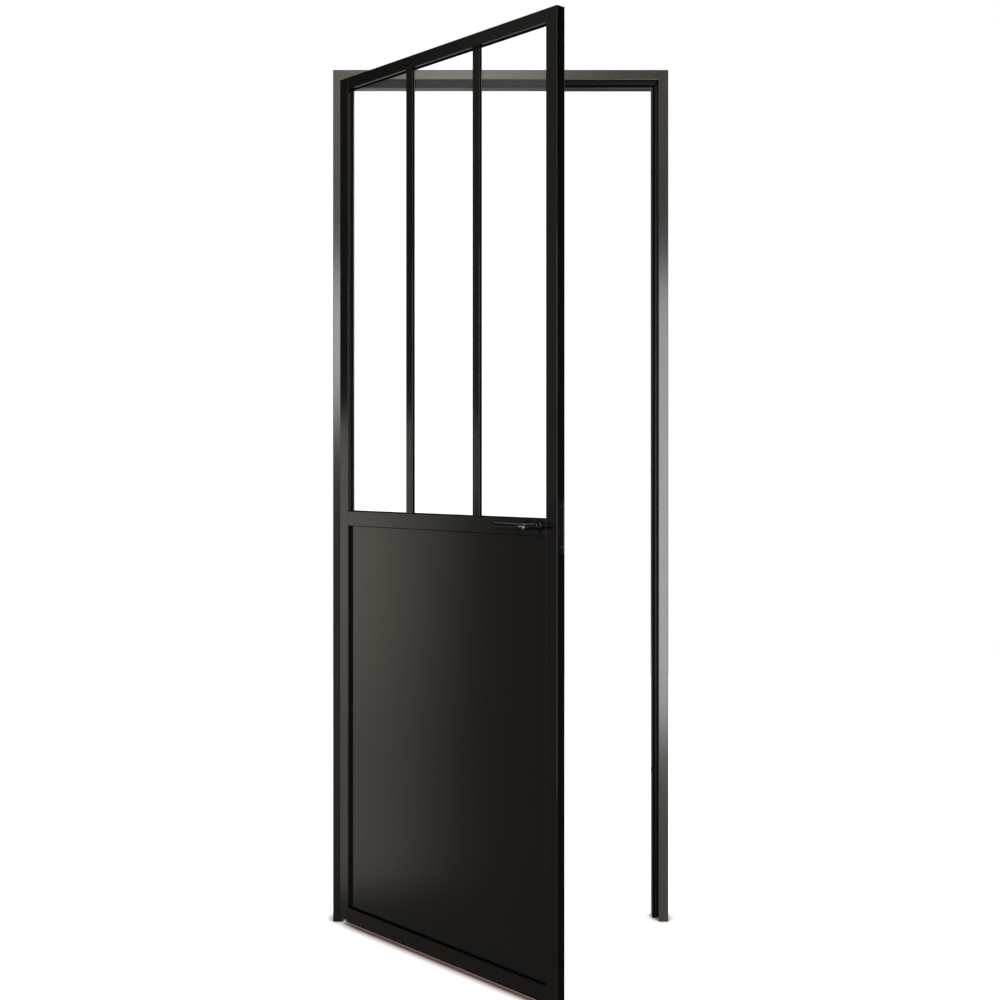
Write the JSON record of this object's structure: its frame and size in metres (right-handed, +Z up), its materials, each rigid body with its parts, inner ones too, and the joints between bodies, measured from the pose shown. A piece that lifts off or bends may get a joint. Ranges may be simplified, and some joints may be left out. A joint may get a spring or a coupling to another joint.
{
  "type": "glazed industrial interior door set",
  "caption": "Black metal door set standing ajar: tall glass panes between slim bars over a solid lower panel, with lever handles.",
  "frame": {"origin": "on the wall face of the hinge jamb, at its foot and at half its depth", "axes": "+X from the hinge jamb to the strike jamb, +Y away from the side the leaf opens to, +Z up"},
  "size_m": [0.815, 0.6345, 2.07],
  "materials": {
    "frame_paint": "satin black powder coat",
    "leaf_paint": "satin black powder coat",
    "seal_rubber": "matt black",
    "plug_plastic": "moulded black",
    "hinge_steel": "blackened",
    "clear_glass": "clear float glass",
    "plate_steel": "black plated",
    "handle_black": "satin black"
  },
  "bodies": {
    "frame": {"hinge_jamb": "frame_paint", "strike_jamb": "frame_paint", "head": "frame_paint", "hinge_foot_plug": "plug_plastic", "strike_foot_plug": "plug_plastic", "hinge_seal": "seal_rubber", "strike_seal": "seal_rubber", "head_seal": "seal_rubber", "strike_plate": "plate_steel", "hinge_cup_lower": "hinge_steel", "hinge_cup_middle": "hinge_steel", "hinge_cup_upper": "hinge_steel"},
    "leaf": {"hinge_arm_lower": "hinge_steel", "hinge_arm_middle": "hinge_steel", "hinge_arm_upper": "hinge_steel", "hinge_stile": "leaf_paint", "lock_stile": "leaf_paint", "top_rail": "leaf_paint", "mid_rail": "leaf_paint", "bottom_rail": "leaf_paint", "glass": "clear_glass", "outer_bar_left": "leaf_paint", "outer_bar_right": "leaf_paint", "inner_bar_left": "leaf_paint", "inner_bar_right": "leaf_paint", "glass_bead_top": "leaf_paint", "glass_bead_bottom": "leaf_paint", "glass_bead_hinge": "leaf_paint", "glass_bead_lock": "leaf_paint", "lower_panel": "leaf_paint", "panel_bead_top": "leaf_paint", "panel_bead_bottom": "leaf_paint", "panel_bead_hinge": "leaf_paint", "panel_bead_lock": "leaf_paint", "latch_plate": "plate_steel", "latch_bolt": "plate_steel", "rose_outside": "handle_black", "rose_inside": "handle_black"},
    "handle": {"lever_outside": "handle_black", "lever_inside": "handle_black", "spindle": "plate_steel"}
  },
  "joints": [
    {"name": "leaf_swing", "type": "hinge", "parent": "frame", "child": "leaf", "pos_m": [0.0095, -0.0235, 0], "axis": [0, 0, -1], "range_deg": [-48, 42]},
    {"name": "handle_turn", "type": "hinge", "parent": "leaf", "child": "handle", "pos_m": [0.48444, -0.56068, 0.9835], "axis": [-0.7431, -0.6691, 0], "range_deg": [0, 45], "stiffness_Nm_per_rad": 1.2, "springref_deg": -28.65}
  ]
}
